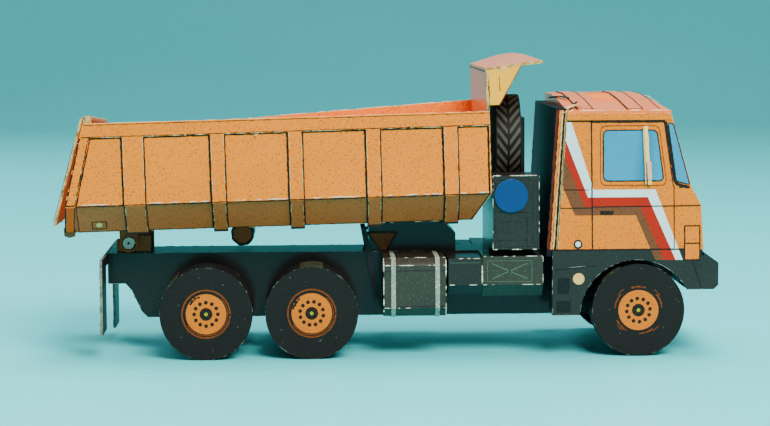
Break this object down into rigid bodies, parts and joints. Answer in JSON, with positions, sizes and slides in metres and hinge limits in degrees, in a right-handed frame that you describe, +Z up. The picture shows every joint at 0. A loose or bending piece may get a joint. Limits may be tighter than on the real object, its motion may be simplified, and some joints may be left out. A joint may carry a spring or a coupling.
{
  "type": "card model of a tipper lorry",
  "caption": "Small folded-card tipper lorry: rolling wheels, bed that tips on a rear pin, top-hung tailgate.",
  "frame": {"origin": "under the middle of the model's bounding box, on the surface the wheels stand on", "axes": "+X forward towards the cab, +Y to the left side, +Z up"},
  "size_m": [0.0744, 0.025, 0.0336],
  "materials": {
    "orange_card": "printed card, satin, pale cut edges",
    "brown_card": "printed card, brown, satin",
    "black_card": "printed card, black, slightly glossy ink",
    "green_card": "printed card, dark green-grey with worn pale edges",
    "tyre_card": "printed card, matt black discs and tread strip",
    "blue_card": "printed card, blue",
    "glossy_card": "printed card seen at a glancing angle, pale orange sheen",
    "pale_roll": "plain paper roll or strip, matt"
  },
  "bodies": {
    "chassis": {"chassis_box": "black_card", "tail_crossmember": "black_card", "mud_flap_right": "black_card", "mud_flap_left": "black_card", "pivot_brackets": "brown_card", "tipping_pin": "pale_roll", "hoist_box": "black_card", "hoist_brackets": "brown_card", "ram_right": "black_card", "ram_left": "black_card", "fuel_tank_right": "green_card", "fuel_tank_left": "green_card", "tank_straps_right": "pale_roll", "tank_straps_left": "pale_roll", "small_box_right": "green_card", "small_box_left": "green_card", "battery_box_right": "green_card", "battery_box_left": "green_card", "filter_box": "green_card", "filter_lid": "blue_card", "spare_deck": "black_card", "spare_wheel": "tyre_card", "spare_carrier": "black_card", "cab_side_right": "orange_card", "cab_side_left": "orange_card", "cab_front": "orange_card", "cab_roof": "glossy_card", "roof_straps": "glossy_card", "cab_back": "black_card", "cab_floor": "black_card", "fender_right": "green_card", "fender_left": "green_card", "step_right": "green_card", "step_left": "green_card", "bumper": "green_card"},
    "front_wheels": {"axle_front": "tyre_card", "wheel_front_right": "tyre_card", "wheel_front_left": "tyre_card"},
    "middle_wheels": {"axle_middle": "tyre_card", "wheel_middle_right": "tyre_card", "wheel_middle_left": "tyre_card"},
    "rear_wheels": {"axle_rear": "tyre_card", "wheel_rear_right": "tyre_card", "wheel_rear_left": "tyre_card"},
    "bed": {"bed_floor": "brown_card", "bed_wall_right": "orange_card", "bed_wall_left": "orange_card", "bed_chamfer_right": "brown_card", "bed_chamfer_left": "brown_card", "bed_headboard": "orange_card", "bed_front_skirt": "brown_card", "bed_ribs_right": "orange_card", "bed_ribs_left": "orange_card", "bed_rails": "orange_card", "bed_lugs": "brown_card", "bed_buffer": "brown_card", "canopy": "glossy_card", "gate_hanger": "orange_card"},
    "gate": {"tailgate": "orange_card"}
  },
  "joints": [
    {"name": "front_axle_turn", "type": "hinge", "parent": "chassis", "child": "front_wheels", "pos_m": [0.02815, 0, 0.0052], "axis": [0, 1, 0], "continuous": true},
    {"name": "middle_axle_turn", "type": "hinge", "parent": "chassis", "child": "middle_wheels", "pos_m": [-0.00855, 0, 0.0052], "axis": [0, 1, 0], "continuous": true},
    {"name": "rear_axle_turn", "type": "hinge", "parent": "chassis", "child": "rear_wheels", "pos_m": [-0.02035, 0, 0.0052], "axis": [0, 1, 0], "continuous": true},
    {"name": "bed_tip", "type": "hinge", "parent": "chassis", "child": "bed", "pos_m": [-0.02935, 0, 0.0125], "axis": [0, -1, 0], "range_deg": [0, 50]},
    {"name": "gate_swing", "type": "hinge", "parent": "bed", "child": "gate", "pos_m": [-0.03327, 0, 0.02631], "axis": [0.0015, 0.9981, -0.0608], "range_deg": [-2.4, 60]}
  ]
}
